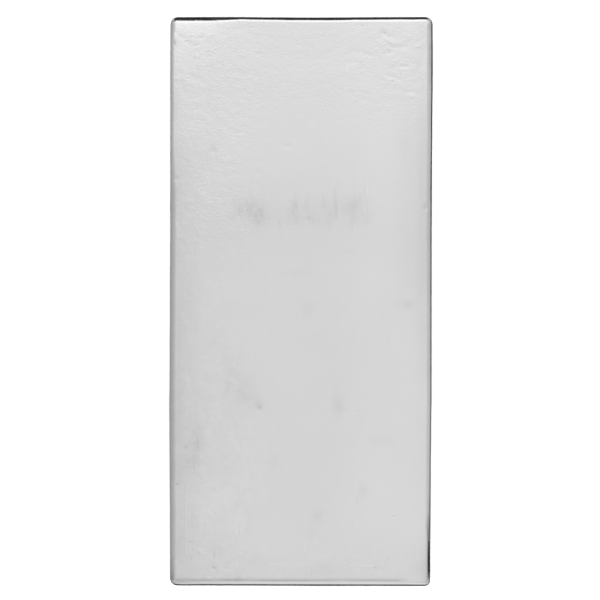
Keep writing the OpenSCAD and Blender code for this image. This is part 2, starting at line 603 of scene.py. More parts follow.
# painted light and shade: faint lighter and darker places, most along the edges and corners, with uneven tone
# elsewhere
painted_light_and_tone_spots = spots(
    (
        (188, 50, 10, 6, 0.035),
        (185, 66, 7, 6, 0.035),
        (175, 40, 2.5, 5, -0.040),
        (180, 48, 3, 4, 0.040),
        (175, 28, 2, 3, 0.030),
        (424, 65, 2, 6, 0.030),
        (424, 30, 2, 3, -0.030),
        (424, 87, 2, 5, -0.030),
        (418, 525, 3, 8, 0.018),
        (424, 566, 3, 3, -0.020),
        (252, 560, 8, 6, -0.016),
        (175, 115, 1.5, 8, -0.030),
        (175, 100, 3, 16, -0.035),
        (175, 190, 2.5, 12, -0.025),
        (174, 225, 2.5, 8, 0.030),
        (174, 320, 2, 40, 0.022),
        (187, 320, 3, 60, 0.014),
        (188, 400, 4, 40, 0.022),
        (187, 525, 3, 16, 0.026),
        (420, 56, 4, 28, -0.028),
        (250, 562, 10, 8, -0.036),
        (202, 570, 9, 6, -0.034),
        (228, 435, 9, 24, -0.022),
        (212, 535, 12, 20, -0.014),
        (212, 340, 7, 10, -0.030),
        (423, 572, 4, 5, -0.032),
        (238, 26, 22, 5, -0.022),
        (320, 566, 60, 8, -0.010),
        (245, 579.4, 48, 1.3, -0.045),
        (427, 306, 1.5, 40, 0.020),
        (410, 24, 5, 3, 0.030),
        (404, 145, 5, 8, -0.022),
        (320, 65, 40, 8, 0.016),
    )
)
# the smudged band across the upper middle, where something was rubbed off
smudge = spots(
    (
        (237, 205, 4, 7, 0.50),
        (240, 211, 3, 4, 0.45),
        (250, 206, 3.5, 6, 0.75),
        (256, 214, 5.5, 8, 1.00),
        (261, 218, 4.5, 7, 0.80),
        (257.3, 221, 1.3, 5, 0.45),
        (249, 213, 2, 4, 0.55),
        (280, 222, 3, 3.5, 0.45),
        (295, 207, 2.4, 4.5, 1.15),
        (295, 219, 4, 6, 0.60),
        (289, 220, 3, 4, 0.40),
        (295, 195, 1.2, 7, 0.35),
        (301, 220, 3, 4, 0.40),
        (309, 218, 3, 2.5, 0.80),
        (315, 221, 5, 3, 0.60),
        (306, 207, 2.5, 3, 0.30),
        (324, 201, 1.5, 5, 0.75),
        (308, 198, 1.3, 4, 0.40),
        (335.6, 203, 1.6, 8, 0.60),
        (336.6, 215, 1.6, 6, 0.20),
        (330, 215, 3.5, 6, 0.60),
        (329.5, 226, 1.3, 4, 0.45),
        (352.5, 206, 5, 5, 0.95),
        (358, 198, 3.5, 3, 0.60),
        (354.5, 220, 4, 4.5, 0.75),
        (366.5, 207, 1.3, 5, 0.35),
        (367, 217, 3, 5, 0.45),
        (300, 209, 36, 9, 0.30),
        (248, 212, 14, 11, 0.34),
        (236, 215, 3, 5, 0.30),
        (230, 219, 5, 3, 0.28),
        (270, 216, 4, 5, 0.26),
        (318, 212, 24, 9, 0.20),
        (356, 211, 11, 12, 0.34),
        (286, 184, 25, 6, 0.15),
    )
)
stain = spots(
    (
        (240, 388, 10, 12, 0.80),
        (184, 428, 13, 30, 0.42),
        (178, 468, 8, 14, 0.40),
        (232, 372, 9, 14, 0.30),
        (246, 402, 12, 10, 0.25),
        (205, 400, 9, 12, 0.22),
        (208, 503, 9, 17, -0.42),
        (190, 520, 4, 12, 0.30),
        (214, 568, 4, 3, 0.55),
        (204, 560, 3, 4, 0.40),
        (232, 556, 8, 5, 0.30),
        (236, 382, 4, 5, 0.35),
        (259, 408, 3, 4, 1.10),
        (254, 404, 5, 4, 0.35),
        (337, 404, 4, 8, 0.80),
        (341, 410, 3, 4, 0.40),
        (195, 446, 9, 15, 0.90),
        (198, 438, 3, 8, 0.60),
        (192, 456, 5, 6, 0.50),
        (226, 355, 6, 12, 0.35),
        (409, 306, 6, 4, 0.80),
        (309, 310, 5, 6, 0.55),
        (318, 518, 4, 5, 0.95),
        (310, 534, 3, 4, 0.50),
        (363, 492, 4, 5, 0.60),
        (383, 440, 9, 5, 0.45),
        (212, 151, 5, 4, 0.60),
        (323, 572, 20, 5, 0.55),
        (416, 568, 6, 6, 0.50),
        (238, 574, 24, 4, 0.45),
        (182, 550, 8, 20, 0.55),
        (222, 547, 10, 9, 0.30),
        (186, 300, 8, 26, 0.35),
        (183, 345, 6, 14, 0.30),
        (206, 476, 12, 8, 0.35),
        (274, 462, 5, 5, 0.35),
        (302, 274, 12, 3, 0.30),
        (229, 463, 7, 8, 0.22),
        (219, 428, 2, 8, 0.25),
        (208, 419, 1.5, 4, 0.30),
        (347, 252, 5, 3, 0.30),
        (350, 280, 7, 4, 0.25),
        (310, 340, 9, 10, 0.25),
    )
)
# painted light and shade with some uneven tone: the face is painted a shade lighter towards the lower end, most at its
# right
painted_light_and_tone = 0.043 * np.clip(-y / 57.0, 0, 1)
painted_light_and_tone = painted_light_and_tone + 0.038 * smooth(14.0, 36.0, y)
painted_light_and_tone = painted_light_and_tone + 0.030 * smooth(4.0, 18.0, x) * smooth(-54.0, -44.0, y) + 0.010 * smooth(-24.0, -38.0, y) * smooth(4.0, 18.0, x)
painted_light_and_tone = painted_light_and_tone - 0.012 * smooth(-14.0, -22.0, x) * smooth(10.0, -12.0, y)
painted_light_and_tone = painted_light_and_tone + 0.022 * smooth(14.0, 4.0, y) * smooth(-25.0, -19.0, x) * (1 - 0.6 * smooth(22.0, 25.0, x))
# and painted shade a little darker beside the long edges
painted_light_and_tone = painted_light_and_tone - 0.026 * smooth(-24.0, -25.8, x) * smooth(46.0, 40.0, y)
painted_light_and_tone = painted_light_and_tone - (0.030 * smooth(17.0, 22.5, x) + 0.032 * smooth(23.0, 25.0, x)) * smooth(46.0, 38.0, y) * smooth(-4.0, 6.0, y)
painted_light_and_tone = painted_light_and_tone - 0.030 * smooth(23.0, 25.5, x) * smooth(0.0, -6.0, y) * smooth(-20.0, -14.0, y)
painted_light_and_tone = painted_light_and_tone - 0.070 * smooth(24.0, 25.8, x) * smooth(-48.0, -53.0, y)
painted_light_and_tone = painted_light_and_tone - 0.100 * smooth(25.4, 25.9, x) * smooth(-43.5, -46.5, y)
# and painted shade along the lower end's rounded edge, most at its left
painted_lower_edge_shade = np.exp(-(((y + 57.93) / 0.22) ** 2))
painted_light_and_tone = painted_light_and_tone - painted_lower_edge_shade * (0.045 + 0.075 * smooth(-10.0, -14.0, x) + 0.13 * smooth(-21.0, -25.0, x))
painted_light_and_tone = painted_light_and_tone + painted_light_and_tone_spots
pits = np.clip(0.10 + 0.80 * smooth(32.0, 44.0, y) + 0.7 * smooth(-5.0, -14.0, x) * smooth(-2.0, 20.0, y), 0, 1)
peel = np.clip(peel + 0.30 * np.clip(smudge, 0, 1) * smooth(6.0, -4.0, x), 0, 1.2)
# where the satin is uneven
mottle = np.clip(
    1.0 * smooth(-4.0, -14.0, x) * smooth(-8.0, -20.0, y) + 0.5 * smooth(-8.0, -18.0, x) + 0.35 * smooth(-46.0, -55.0, y) + 0.2, 0, 1.2
)
for name, values in (
    ("mottle", mottle * face),
    ("peel", peel),
    ("smudge", smudge * face),
    ("stain", stain * face),
    ("painted_light_and_tone", painted_light_and_tone * face),
    ("pits", pits * face),
    ("wall", smooth(0.6, 0.1, np.abs(NRM[:, 2]))),
    ("corner", smooth(0.6, 0.1, np.abs(NRM[:, 2])) * smooth(0.05, 0.5, 2 * np.abs(NRM[:, 0] * NRM[:, 1]))),
    ("rim_dark_paint", RIM_DARK_PAINT_PER_POINT),
    ("face", face),
):
    layer = mesh.attributes.new(name, "FLOAT", "POINT")
    layer.data.foreach_set("value", (values * np.ones(len(x))).astype(np.float32))

bar = bpy.data.objects.new("cast_bar", mesh)
bpy.context.scene.collection.objects.link(bar)

# ---------------------------------------------------------------------------
# Finish: satin cast silver
# ---------------------------------------------------------------------------
silver = bpy.data.materials.new("cast_silver")
silver.use_nodes = True
nt = silver.node_tree
nt.nodes.clear()


def node(kind, **values):
    n = nt.nodes.new(kind)
    for k, v in values.items():
        setattr(n, k, v)
    return n


def link(a, b):
    nt.links.new(a, b)


def math_node(op, a, b=None, c=None, clamp=False):
    n = node("ShaderNodeMath", operation=op, use_clamp=clamp)
    for i, v in enumerate((a, b, c)):
        if v is None:
            continue
        if isinstance(v, (int, float)):
            n.inputs[i].default_value = v
        else:
            link(v, n.inputs[i])
    return n.outputs[0]


def noise(scale_xyz, detail=2.0, rough=0.5, distortion=0.0, offset=(0, 0, 0)):
    """Noise whose scale is in cells per millimetre along x, y and z."""
    m = node("ShaderNodeMapping")
    m.inputs["Scale"].default_value = [s * 1000.0 for s in scale_xyz]
    m.inputs["Location"].default_value = offset
    link(coords.outputs["Object"], m.inputs["Vector"])
    n = node("ShaderNodeTexNoise")
    n.inputs["Scale"].default_value = 1.0
    n.inputs["Detail"].default_value = detail
    n.inputs["Roughness"].default_value = rough
    n.inputs["Distortion"].default_value = distortion
    link(m.outputs["Vector"], n.inputs["Vector"])
    return math_node("SUBTRACT", n.outputs["Fac"], 0.5)


def attribute(name):
    return node("ShaderNodeAttribute", attribute_name=name).outputs["Fac"]


coords = node("ShaderNodeTexCoord")
place = node("ShaderNodeSeparateXYZ")
link(coords.outputs["Object"], place.inputs[0])
x_mm = math_node("MULTIPLY", place.outputs["X"], 1000.0)
y_mm = math_node("MULTIPLY", place.outputs["Y"], 1000.0)


def soft_step(value, a, b):
    n = node("ShaderNodeMapRange", interpolation_type="SMOOTHSTEP")
    n.inputs["From Min"].default_value = a
    n.inputs["From Max"].default_value = b
    link(value, n.inputs["Value"])
    return n.outputs["Result"]


def line(u0, v0, u1, v1, half_width, wobble=None):
    """A fine line between two layout places: 1 on the line, 0 beside it."""
    (ax, ay), (bx, by) = at_mark(u0, v0), at_mark(u1, v1)
    length = math.hypot(bx - ax, by - ay)
    tx, ty = (bx - ax) / length, (by - ay) / length
    dx, dy = math_node("SUBTRACT", x_mm, ax), math_node("SUBTRACT", y_mm, ay)
    t = math_node("MULTIPLY_ADD", dx, tx, math_node("MULTIPLY", dy, ty))
    n = math_node("MULTIPLY_ADD", dx, -ty, math_node("MULTIPLY", dy, tx))
    if wobble is not None:
        n = math_node("ADD", n, wobble)
    past = math_node("MAXIMUM", math_node("MULTIPLY", t, -1.0), math_node("SUBTRACT", t, length))
    past = math_node("MULTIPLY", math_node("MAXIMUM", past, 0.0), 0.3)
    off = math_node("ADD", math_node("ABSOLUTE", n), past)
    return soft_step(off, half_width, half_width * 0.2)


def dash(u0, v0, u1, v1, half_width=0.16):
    """A small soft nick from one layout place to another."""
    (ax, ay), (bx, by) = at_mark(u0, v0), at_mark(u1, v1)
    reach = math.hypot(bx - ax, by - ay) / 2 + half_width
    a = math.atan2(by - ay, bx - ax)
    mx, my = (ax + bx) / 2, (ay + by) / 2
    p, r = math.cos(a) / reach, math.sin(a) / reach
    t = math_node("MULTIPLY_ADD", x_mm, p, math_node("MULTIPLY_ADD", y_mm, r, -mx * p - my * r))
    p, r = -math.sin(a) / half_width, math.cos(a) / half_width
    n = math_node("MULTIPLY_ADD", x_mm, p, math_node("MULTIPLY_ADD", y_mm, r, -mx * p - my * r))
    return soft_step(math_node("MULTIPLY_ADD", t, t, math_node("MULTIPLY", n, n)), 1.5, 0.05)


peel_m, smudge_m, stain_m = attribute("peel"), attribute("smudge"), attribute("stain")
painted_light_and_tone_m, pits_m, wall_m, mottle_m = attribute("painted_light_and_tone"), attribute("pits"), attribute("wall"), attribute("mottle")
corner_m, rim_dark_paint_m, face_m = attribute("corner"), attribute("rim_dark_paint"), attribute("face")

grain = noise((2.0, 1.7, 1.7), 0.0, 0.5)
skin = noise((0.80, 1.10, 1.10), 1.0, 0.5, 0.35, (3, 1, 7))
crinkle = noise((1.45, 2.05, 2.05), 1.0, 0.55, 0.5, (7, 3, 5))
patchy = noise((0.27, 0.34, 0.34), 1.0, 0.5, 0.0, (2, 8, 4))
streaks = noise((1.6, 0.10, 0.6), 1.0, 0.6, 0.0, (11, 5, 2))
smear = noise((0.95, 0.28, 0.8), 2.0, 0.6, 0.5, (5, 9, 1))
cloud = noise((0.10, 0.07, 0.10), 3.0, 0.55, 0.0, (1, 2, 3))

# smudged band: upright streaks where something was rubbed off
streaky = math_node("MULTIPLY_ADD", smear, 1.5, 0.84, clamp=True)
fine_smear = noise((2.1, 0.62, 1.6), 1.0, 0.5, 0.3, (2, 6, 3))
streaky = math_node("MULTIPLY_ADD", fine_smear, 1.0, streaky)
streaky = math_node("MULTIPLY_ADD", crinkle, 0.7, streaky)
streaky = math_node("MAXIMUM", streaky, 0.40)
rubbed = math_node("MULTIPLY", streaky, smudge_m)
rub = line(334.6, 192.0, 336.0, 206.0, 0.42)
rub = math_node("MAXIMUM", rub, line(336.0, 206.0, 336.8, 218.0, 0.32))
rub = math_node("MULTIPLY", rub, math_node("MULTIPLY_ADD", smear, 1.6, 0.95, clamp=True))
# soft dull stains, broken up a little
broken = math_node("MULTIPLY_ADD", patchy, 2.2, 0.9, clamp=True)
broken = math_node("MULTIPLY_ADD", skin, 0.9, broken)
dull = math_node("MULTIPLY", broken, stain_m)

# the crease where the lower end's edge begins, with painted shade along it and in a soft band above it, and a few fine
# scratches
wobble = math_node("MULTIPLY", noise((0.12, 0.12, 0.12), 1.0, 0.5, 0.0, (4, 4, 4)), 0.35)
crease_and_painted_shade = line(177, 580.6, 398, 580.8, 0.26, wobble)
crease_and_painted_shade = math_node("MULTIPLY", crease_and_painted_shade, math_node("MULTIPLY_ADD", patchy, 1.6, 0.80, clamp=True))
painted_hollow_shade = line(177, 579.5, 404, 579.7, 0.50, wobble)
scratch_marks_and_shade = line(346, 565.5, 375, 566.5, 0.16)
# painted highlight on the lit side of the long scratch near the left edge; the list below paints its other side dark
# as painted shade
painted_scratch_highlight = line(186.4, 488, 186.4, 555, 0.14)
for ends, much in (
    ((270, 564.5, 318, 566.0), 0.5),
    ((185.2, 486, 185.2, 555), 0.9),
    ((176, 556, 202, 559), 0.4),
    ((365.0, 176, 366.0, 200), 0.7),
    ((205, 262, 214, 300), 0.3),
    ((376, 352, 398, 356), 0.3),
    ((290, 478, 312, 480), 0.3),
):
    scratch_marks_and_shade = math_node("MULTIPLY_ADD", line(*ends, 0.15), much, scratch_marks_and_shade)

# painted light and shade of the nicks and breaks in the skin: dark (painted shade) below zero, bright (painted
# highlights) above
nick_light_and_shade = None
for ends, much in (
    # cold-lap breaks under the upper left edge
    ((181.2, 28.8, 183.4, 32.0), -1.0),
    ((181.0, 33.8, 181.6, 34.4), -1.6),
    ((188.6, 35.5, 193.2, 36.1), -1.7),
    ((195.6, 36.7, 204.2, 36.4), -1.6),
    ((206.2, 35.0, 210.4, 33.4), 0.7),
    ((210.8, 35.6, 215.4, 35.4), -0.6),
    ((190.0, 33.5, 195.0, 33.7), 0.5),
    ((198.0, 38.6, 207.0, 38.8), 0.6),
    ((184.4, 41.0, 188.3, 40.3), -1.4),
    ((184.5, 42.5, 188.0, 41.9), 0.8),
    ((193.2, 44.9, 198.2, 44.3), -1.7),
    ((195.5, 46.3, 200.0, 45.7), 0.9),
    ((174.4, 41.2, 174.8, 44.2), -1.8),
    ((208.0, 50.2, 209.2, 50.6), -1.1),
    ((194.2, 56.0, 194.4, 58.0), -1.0),
    ((196.6, 53.2, 197.4, 54.4), 1.1),
    ((193.0, 67.0, 195.0, 65.6), 0.9),
    ((184.0, 79.6, 192.0, 79.0), 0.8),
    ((192.0, 73.0, 196.0, 75.0), -0.9),
    # upper right laps
    ((384.4, 32.4, 384.9, 33.6), -2.6),
    ((386.4, 35.2, 389.6, 36.6), -1.3),
    ((384.8, 37.6, 395.6, 43.8), 1.5),
    ((383.4, 39.2, 391.8, 44.2), -1.1),
    ((376.4, 38.2, 383.4, 44.0), 1.0),
    ((376.0, 36.8, 381.0, 39.8), -0.8),
    ((390.6, 46.8, 402.4, 48.0), -0.8),
    ((389.4, 50.8, 389.8, 53.2), -1.3),
    ((400.4, 67.6, 407.6, 67.9), 1.3),
    ((400.4, 66.0, 407.0, 66.1), -0.9),
    ((387.6, 78.4, 392.4, 79.4), 1.0),
    ((393.0, 79.8, 393.8, 81.0), -2.0),
    ((366.4, 53.7, 371.6, 53.9), -0.8),
    ((358.6, 61.6, 363.4, 61.7), -0.7),
    ((377.3, 56.8, 377.6, 62.6), 0.7),
    ((347.0, 66.4, 347.2, 70.6), 0.6),
    ((362.0, 24.9, 362.8, 26.0), -1.6),
    ((411.6, 92.6, 413.6, 94.8), 0.9),
    ((417.0, 45.4, 419.6, 45.4), 1.1),
    # the lower left
    ((208.4, 416.5, 206.9, 424.0), -0.5),
    ((219.8, 421.0, 220.5, 430.5), -0.4),
    ((217.6, 443.0, 217.0, 454.0), -0.4),
    ((185.5, 444.6, 185.6, 448.8), -1.5),
    ((197.0, 436.0, 197.4, 446.0), -0.8),
    ((193.4, 462.5, 194.0, 468.6), -0.9),
    ((190.0, 464.0, 194.6, 464.6), 0.5),
    ((200.4, 457.0, 202.6, 458.4), 0.7),
    ((176.4, 484.2, 177.6, 484.9), -2.2),
    ((214.0, 487.6, 214.1, 491.0), -1.0),
    ((186.2, 541.8, 195.0, 541.9), -0.9),
    ((198.5, 549.5, 201.6, 551.6), 1.2),
    ((198.6, 551.8, 198.8, 554.8), -1.0),
    ((203.5, 553.4, 208.0, 553.7), 0.6),
    ((214.2, 552.4, 214.5, 557.4), -1.5),
    ((215.6, 552.6, 215.7, 556.8), 0.6),
    ((190.6, 555.8, 191.2, 560.0), -1.1),
    ((212.0, 566.8, 216.2, 568.9), -1.8),
    ((215.8, 572.0, 219.4, 571.4), -1.3),
    ((225.0, 567.8, 226.2, 568.4), -1.5),
    ((207.5, 577.6, 211.5, 577.8), 1.2),
    ((219.5, 580.2, 232.0, 580.3), -1.0),
    ((234.8, 580.2, 237.6, 580.5), -1.2),
    ((234.0, 582.0, 236.4, 583.0), 0.8),
    ((237.4, 563.5, 237.6, 567.0), 0.9),
    ((236.6, 528.0, 236.7, 534.0), 0.5),
    ((239.0, 527.0, 239.2, 533.0), -0.6),
    ((240.0, 553.6, 241.8, 554.2), 1.0),
    ((254.0, 467.6, 254.1, 471.5), 1.1),
    ((213.6, 535.6, 213.9, 538.6), 0.7),
    ((176.0, 561.5, 176.8, 562.3), 1.0),
    # the lower edge and the lower right
    ((315.4, 537.4, 315.6, 545.6), 0.7),
    ((305.0, 549.4, 305.9, 550.4), 1.0),
    ((342.0, 523.4, 342.1, 528.8), 0.7),
    ((356.7, 523.4, 356.8, 528.8), 0.6),
    ((391.4, 518.2, 396.2, 518.2), 1.3),
    ((391.8, 516.0, 396.4, 516.0), -0.8),
    ((357.3, 500.2, 357.5, 504.4), -0.8),
    ((268.5, 564.3, 289.0, 564.6), 0.5),
    ((297.0, 564.8, 310.0, 565.2), 0.4),
    ((349.5, 565.6, 355.0, 565.5), 0.9),
    ((360.0, 566.0, 374.6, 565.8), 1.1),
    ((374.0, 567.9, 376.6, 568.3), -1.7),
    ((352.0, 556.6, 356.2, 556.6), 0.5),
    ((387.3, 556.6, 387.5, 559.6), -0.7),
    ((405.7, 553.4, 406.8, 560.6), -0.5),
    ((311.2, 573.2, 311.3, 575.6), -0.8),
    # the open face
    ((259.3, 406.6, 259.8, 409.0), -1.4),
    ((352.4, 413.2, 353.2, 414.2), 1.6),
    ((234.0, 361.2, 234.8, 362.4), 0.8),
    ((365.1, 186.0, 365.3, 197.0), -0.7),
    ((366.8, 187.0, 367.0, 196.0), 0.6),
    ((365.5, 206.0, 365.7, 212.0), 0.9),
    ((353.0, 228.0, 353.1, 233.5), -0.4),
    ((354.4, 228.0, 354.5, 233.5), 0.5),
    ((257.2, 217.0, 257.5, 224.5), -0.4),
    ((246.2, 209.2, 247.0, 210.4), -1.2),
    ((244.4, 208.0, 245.2, 209.4), 0.8),
    ((246.0, 199.4, 247.2, 202.8), -0.6),
    ((236.8, 215.2, 239.8, 213.8), -0.8),
    ((248.4, 218.0, 251.6, 218.0), 0.6),
    ((240.0, 229.6, 244.0, 229.8), 0.6),
    ((278.4, 222.6, 281.8, 225.6), -0.6),
    ((292.8, 226.4, 297.6, 226.4), 0.6),
    ((308.6, 216.6, 310.4, 218.8), -0.9),
    ((305.8, 221.0, 307.0, 223.0), 0.8),
    ((290.0, 192.4, 291.4, 193.6), 0.6),
):
    n = dash(*ends)
    nick_light_and_shade = math_node("MULTIPLY_ADD", n, much, 0.0 if nick_light_and_shade is None else nick_light_and_shade)
nick_light_and_shade = math_node("MULTIPLY", nick_light_and_shade, face_m)

# flecks: small level specks, dark or bright, gathered in patches
m = node("ShaderNodeMapping")
m.inputs["Scale"].default_value = (700.0, 1350.0, 1350.0)
m.inputs["Rotation"].default_value = (0, 0, 0.12)
link(coords.outputs["Object"], m.inputs["Vector"])
flecks = node("ShaderNodeTexVoronoi", feature="F1", voronoi_dimensions="2D")
flecks.inputs["Scale"].default_value = 1.0
link(m.outputs["Vector"], flecks.inputs["Vector"])
fleck_pick = node("ShaderNodeSeparateColor")
link(flecks.outputs["Color"], fleck_pick.inputs[0])
fleck = soft_step(flecks.outputs["Distance"], 0.30, 0.06)
fleck = math_node("MULTIPLY", fleck, math_node("MULTIPLY_ADD", fleck_pick.outputs[1], 2.0, -1.0))
fleck = math_node("MULTIPLY", fleck, math_node("MULTIPLY_ADD", patchy, 5.0, 0.45, clamp=True))
fleck = math_node("MULTIPLY", fleck, pits_m)

# small pits, scattered
m = node("ShaderNodeMapping")
m.inputs["Scale"].default_value = (420.0, 600.0, 600.0)
link(coords.outputs["Object"], m.inputs["Vector"])
cells = node("ShaderNodeTexVoronoi", feature="F1", voronoi_dimensions="2D")
cells.inputs["Scale"].default_value = 1.0
link(m.outputs["Vector"], cells.inputs["Vector"])
cell_pick = node("ShaderNodeSeparateColor")
link(cells.outputs["Color"], cell_pick.inputs[0])
pit = soft_step(cells.outputs["Distance"], 0.17, 0.02)
pit = math_node("MULTIPLY", pit, math_node("MULTIPLY_ADD", cell_pick.outputs[0], 2.4, -0.9))
pit = math_node("MULTIPLY", pit, pits_m)

# the walls: uneven satin in long, level bands
bands = noise((0.035, 0.035, 0.42), 3.0, 0.6, 0.4, (6, 1, 9))
bands = math_node("MULTIPLY", bands, wall_m)
mottled = noise((0.42, 0.34, 0.4), 3.0, 0.62, 0.6, (3, 7, 2))
mottled = math_node("MULTIPLY", mottled, mottle_m)

# colour, with painted light and shade from the tone, spot, crease, scratch, nick and rim masks
shade = math_node("MULTIPLY_ADD", rubbed, -0.078, 1.0)
shade = math_node("MULTIPLY_ADD", rub, -0.036, shade)
shade = math_node("MULTIPLY_ADD", bands, 0.11, shade)
shade = math_node("MULTIPLY_ADD", mottled, 0.110, shade)
shade = math_node("MULTIPLY_ADD", dull, -0.078, shade)
# scratches painted darker as painted shade
shade = math_node("MULTIPLY_ADD", scratch_marks_and_shade, -0.020, shade)
# painted highlight along the long scratch's lit side
shade = math_node("MULTIPLY_ADD", painted_scratch_highlight, 0.055, shade)
shade = math_node("MULTIPLY_ADD", streaks, 0.014, shade)
shade = math_node("MULTIPLY_ADD", cloud, 0.036, shade)
# painted shade along the crease and in the soft band above it
shade = math_node("MULTIPLY_ADD", crease_and_painted_shade, -0.20, shade)
shade = math_node("MULTIPLY_ADD", painted_hollow_shade, -0.092, shade)
# painted light and shade from the tone attribute
shade = math_node("ADD", painted_light_and_tone_m, shade)
# painted light and shade of the nicks and laps
shade = math_node("MULTIPLY_ADD", nick_light_and_shade, 0.085, shade)
shade = math_node("MULTIPLY_ADD", fleck, 0.065, shade)
# the painted dark reflection on the rim darkens the colour here
shade = math_node("MULTIPLY", shade, math_node("MULTIPLY_ADD", rim_dark_paint_m, -0.93, 1.0))
tint = node("ShaderNodeMix", data_type="RGBA", blend_type="MULTIPLY")
tint.inputs[0].default_value = 1.0
tint.inputs[6].default_value = (0.900, 0.900, 0.897, 1.0)
grey = node("ShaderNodeCombineColor")
for i in range(3):
    link(shade, grey.inputs[i])
link(grey.outputs[0], tint.inputs[7])

# roughness
rough = math_node("MULTIPLY_ADD", cloud, 0.06, 0.17)
rough = math_node("MULTIPLY_ADD", streaks, 0.03, rough)
rough = math_node("MULTIPLY_ADD", rubbed, 0.04, rough)
rough = math_node("MULTIPLY_ADD", dull, 0.03, rough)
rough = math_node("MULTIPLY_ADD", wall_m, 0.07, rough)
rough = math_node("MULTIPLY_ADD", bands, 0.20, rough)
# the upright corners are matt from handling
rough = math_node("MULTIPLY_ADD", corner_m, 0.36, rough)
rough = math_node("MULTIPLY_ADD", rim_dark_paint_m, 0.15, rough)

# height, in metres
height = math_node("MULTIPLY", grain, 0.2e-6)
height = math_node("MULTIPLY_ADD", streaks, 0.5e-6, height)
peel_h = math_node("MULTIPLY", skin, peel_m)
height = math_node("MULTIPLY_ADD", peel_h, 1.1e-5, height)
patch = math_node("MULTIPLY_ADD", patchy, 4.0, 0.70, clamp=True)
fine_h = math_node("MULTIPLY", math_node("MULTIPLY", crinkle, peel_m), patch)
height = math_node("MULTIPLY_ADD", fine_h, 2.3e-5, height)
height = math_node("MULTIPLY_ADD", fleck, 2.2e-6, height)
height = math_node("MULTIPLY_ADD", pit, -7.0e-6, height)
height = math_node("MULTIPLY_ADD", scratch_marks_and_shade, 2.6e-6, height)
height = math_node("MULTIPLY_ADD", crease_and_painted_shade, -8.0e-6, height)
wall_skin = noise((0.42, 0.42, 0.95), 1.0, 0.5, 0.3, (9, 2, 6))
height = math_node("MULTIPLY_ADD", math_node("MULTIPLY", wall_skin, wall_m), 2.6e-5, height)
bump = node("ShaderNodeBump")
bump.inputs["Strength"].default_value = 1.0
bump.inputs["Distance"].default_value = 1.0
link(height, bump.inputs["Height"])

bsdf = node("ShaderNodeBsdfPrincipled")
bsdf.inputs["Metallic"].default_value = 1.0
link(tint.outputs[2], bsdf.inputs["Base Color"])
link(rough, bsdf.inputs["Roughness"])
link(bump.outputs["Normal"], bsdf.inputs["Normal"])
out = node("ShaderNodeOutputMaterial")
link(bsdf.outputs[0], out.inputs[0])
mesh.materials.append(silver)

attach(bar, "root")
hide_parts("ingot")

# ---------------------------------------------------------------------------
# Stage: pale floor, a soft studio round it
# ---------------------------------------------------------------------------


def plane(name, size, z_at=0.0):
    m = bpy.data.meshes.new(name)
    s = size / 2
    m.from_pydata([(-s, -s, z_at), (s, -s, z_at), (s, s, z_at), (-s, s, z_at)], [], [(0, 1, 2, 3)])
    o = bpy.data.objects.new(name, m)
    bpy.context.scene.collection.objects.link(o)
    return o


floor = plane("floor", 60.0)
floor_mat = bpy.data.materials.new("pale_floor")
floor_mat.use_nodes = True
f = floor_mat.node_tree.nodes["Principled BSDF"]
f.inputs["Base Color"].default_value = (0.82, 0.82, 0.82, 1)
f.inputs["Roughness"].default_value = 0.9
f.inputs["Specular IOR Level"].default_value = 0.1
floor.data.materials.append(floor_mat)
floor.visible_glossy = False

# a large round studio that only the metal's reflections see
bpy.ops.mesh.primitive_uv_sphere_add(segments=96, ring_count=48, radius=20.0)
studio = bpy.context.object
studio.name = "studio"
studio.visible_camera = False
studio.visible_diffuse = False
studio.visible_transmission = False
studio.visible_volume_scatter = False
studio.visible_shadow = False
sm = bpy.data.materials.new("studio")
sm.use_nodes = True
nt = sm.node_tree
nt.nodes.clear()
geo = node("ShaderNodeNewGeometry")
unit = node("ShaderNodeVectorMath", operation="NORMALIZE")
link(geo.outputs["Position"], unit.inputs[0])
sep = node("ShaderNodeSeparateXYZ")
link(unit.outputs[0], sep.inputs[0])
polar = math_node("DIVIDE", math_node("ARCCOSINE", sep.outputs["Z"]), math.pi)
flat = node("ShaderNodeVectorMath", operation="MULTIPLY")
flat.inputs[1].default_value = (1, 1, 0)
link(unit.outputs[0], flat.inputs[0])
flat_unit = node("ShaderNodeVectorMath", operation="NORMALIZE")
link(flat.outputs[0], flat_unit.inputs[0])
hsep = node("ShaderNodeSeparateXYZ")
link(flat_unit.outputs[0], hsep.inputs[0])


def ramp(stops):
    """Brightness against the angle from overhead, in degrees."""
    n = node("ShaderNodeValToRGB")
    n.color_ramp.interpolation = "LINEAR"
    els = n.color_ramp.elements
    while len(els) < len(stops):
        els.new(0.5)
    for e, (deg, v) in zip(els, stops):
        e.position = deg / 180.0
        e.color = (v, v, v, 1)
    link(polar, n.inputs[0])
    return n.outputs["Color"]


def toward(component, sign):
    c = math_node("MULTIPLY", hsep.outputs[component], float(sign))
    c = math_node("MAXIMUM", c, 0.0)
    return math_node("POWER", c, 2.0)


